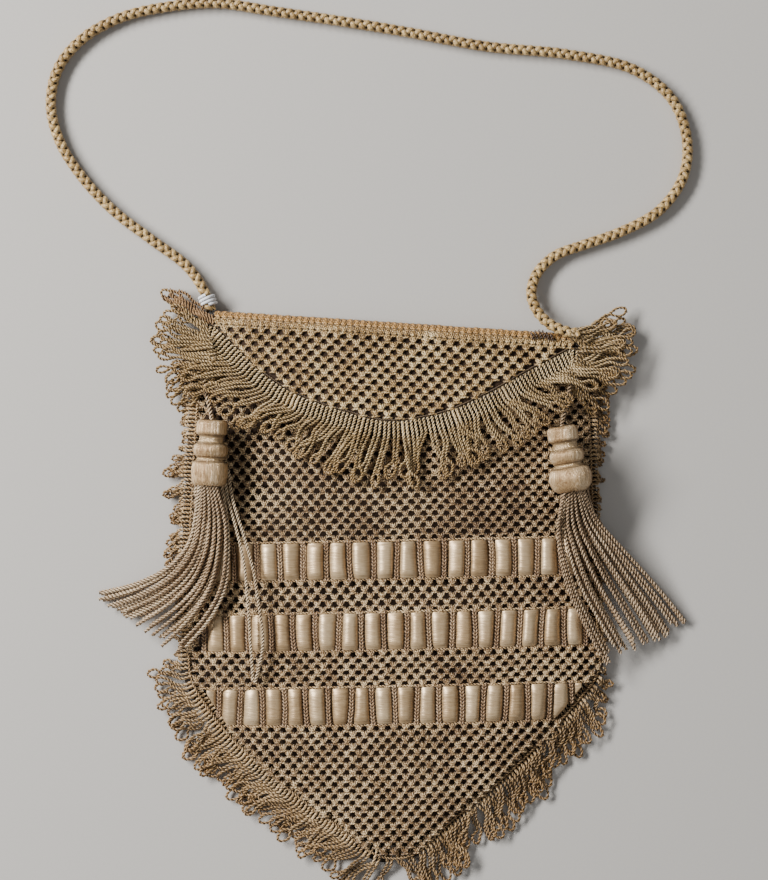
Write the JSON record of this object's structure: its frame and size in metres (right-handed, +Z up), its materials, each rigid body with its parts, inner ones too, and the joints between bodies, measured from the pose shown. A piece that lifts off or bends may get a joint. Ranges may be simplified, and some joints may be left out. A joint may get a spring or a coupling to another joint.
{
  "type": "reticule",
  "caption": "Flat pointed crochet reticule lying on its back: folded flap, rows of puffed ribbon, looped fringe, two tassels and a round plaited cord handle.",
  "frame": {"origin": "on the underside of the flat crochet back, in the middle of the bag", "axes": "+Z up out of the bag's front, +Y towards its mouth and flap, +X to the right when seen from the front"},
  "size_m": [0.2911, 0.4015, 0.0257],
  "materials": {
    "crochet": "gold-brown twisted silk, crocheted",
    "flap_crochet": "gold-brown twisted silk, crocheted, a little more orange",
    "lining": "dark brown plain silk",
    "fringe": "two-ply twisted silk cord",
    "satin_ribbon": "champagne satin, glossy across the weave",
    "floss": "pale satin floss",
    "tassel_cord": "twisted silk cord",
    "handle_braid": "golden plaited silk cord",
    "white_thread": "white cotton thread"
  },
  "bodies": {
    "root": {"back_panel": "crochet", "front_panel": "crochet", "lining_back": "lining", "lining_front": "lining", "flap": "flap_crochet", "flap_fringe": "fringe", "edge_fringe_left": "fringe", "edge_fringe_right": "fringe", "ribbon_upper": "satin_ribbon", "ribbon_middle": "satin_ribbon", "ribbon_lower": "satin_ribbon", "tassel_head_left": "floss", "tassel_head_right": "floss", "tassel_skirt_left": "tassel_cord", "tassel_skirt_right": "tassel_cord", "handle_cord": "handle_braid", "thread_binding": "white_thread"}
  },
  "joints": []
}
